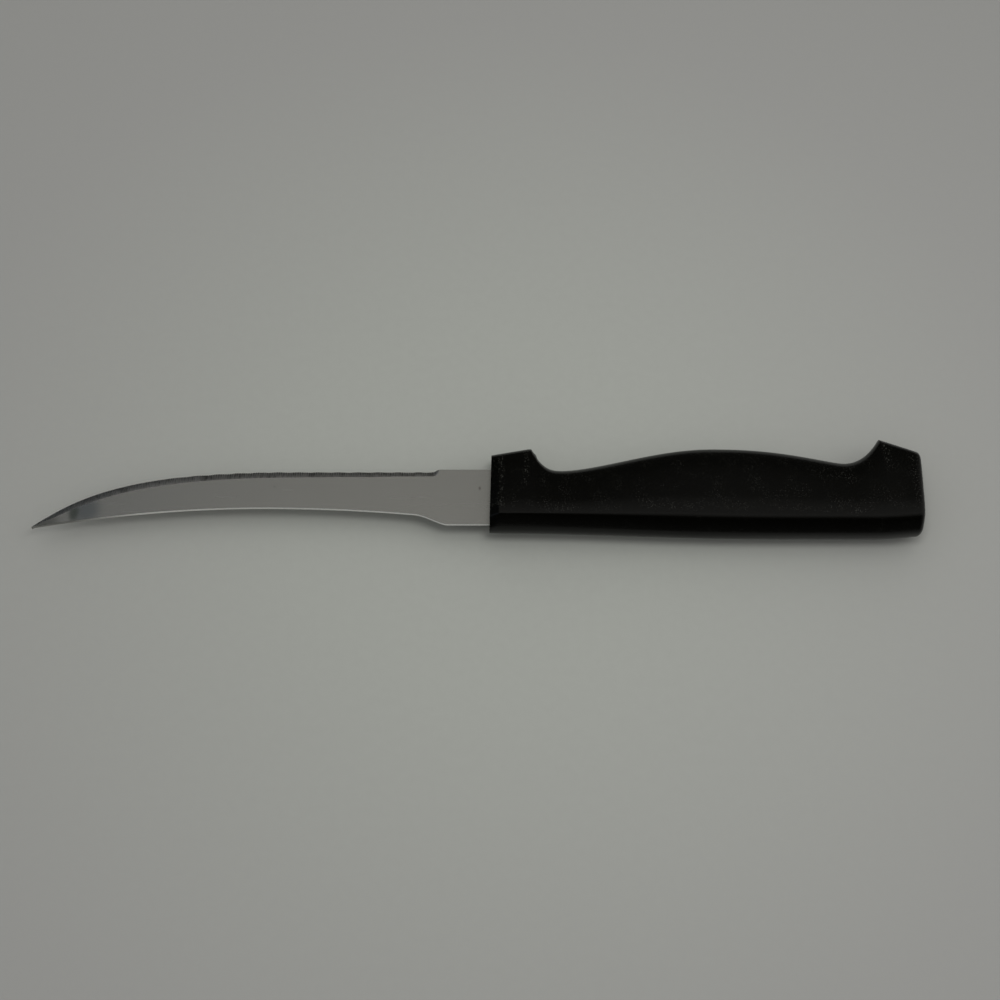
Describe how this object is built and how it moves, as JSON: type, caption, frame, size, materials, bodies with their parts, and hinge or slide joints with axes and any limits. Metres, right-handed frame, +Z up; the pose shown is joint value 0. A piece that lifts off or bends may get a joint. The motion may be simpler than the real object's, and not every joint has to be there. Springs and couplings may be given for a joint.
{
  "type": "fillet knife",
  "caption": "Slim kitchen knife with an upswept, scalloped stainless blade and a black moulded handle with hooked guard and pommel, for filleting and slicing.",
  "frame": {"origin": "middle of the knife's bounding box, on the plane of the handle's lower flat side, which is the side the knife lies on", "axes": "+X from the blade's point to the butt, +Y from the spine to the cutting edge, +Z up, square to the blade's flat faces"},
  "size_m": [0.2354, 0.028, 0.011],
  "materials": {
    "stainless_steel": "fine-polished sheet, with a coarser ground bevel at the scalloped edge",
    "black_polypropylene": "satin moulded skin, finely pebbled"
  },
  "bodies": {
    "root": {"blade": "stainless_steel", "handle": "black_polypropylene"}
  },
  "joints": []
}
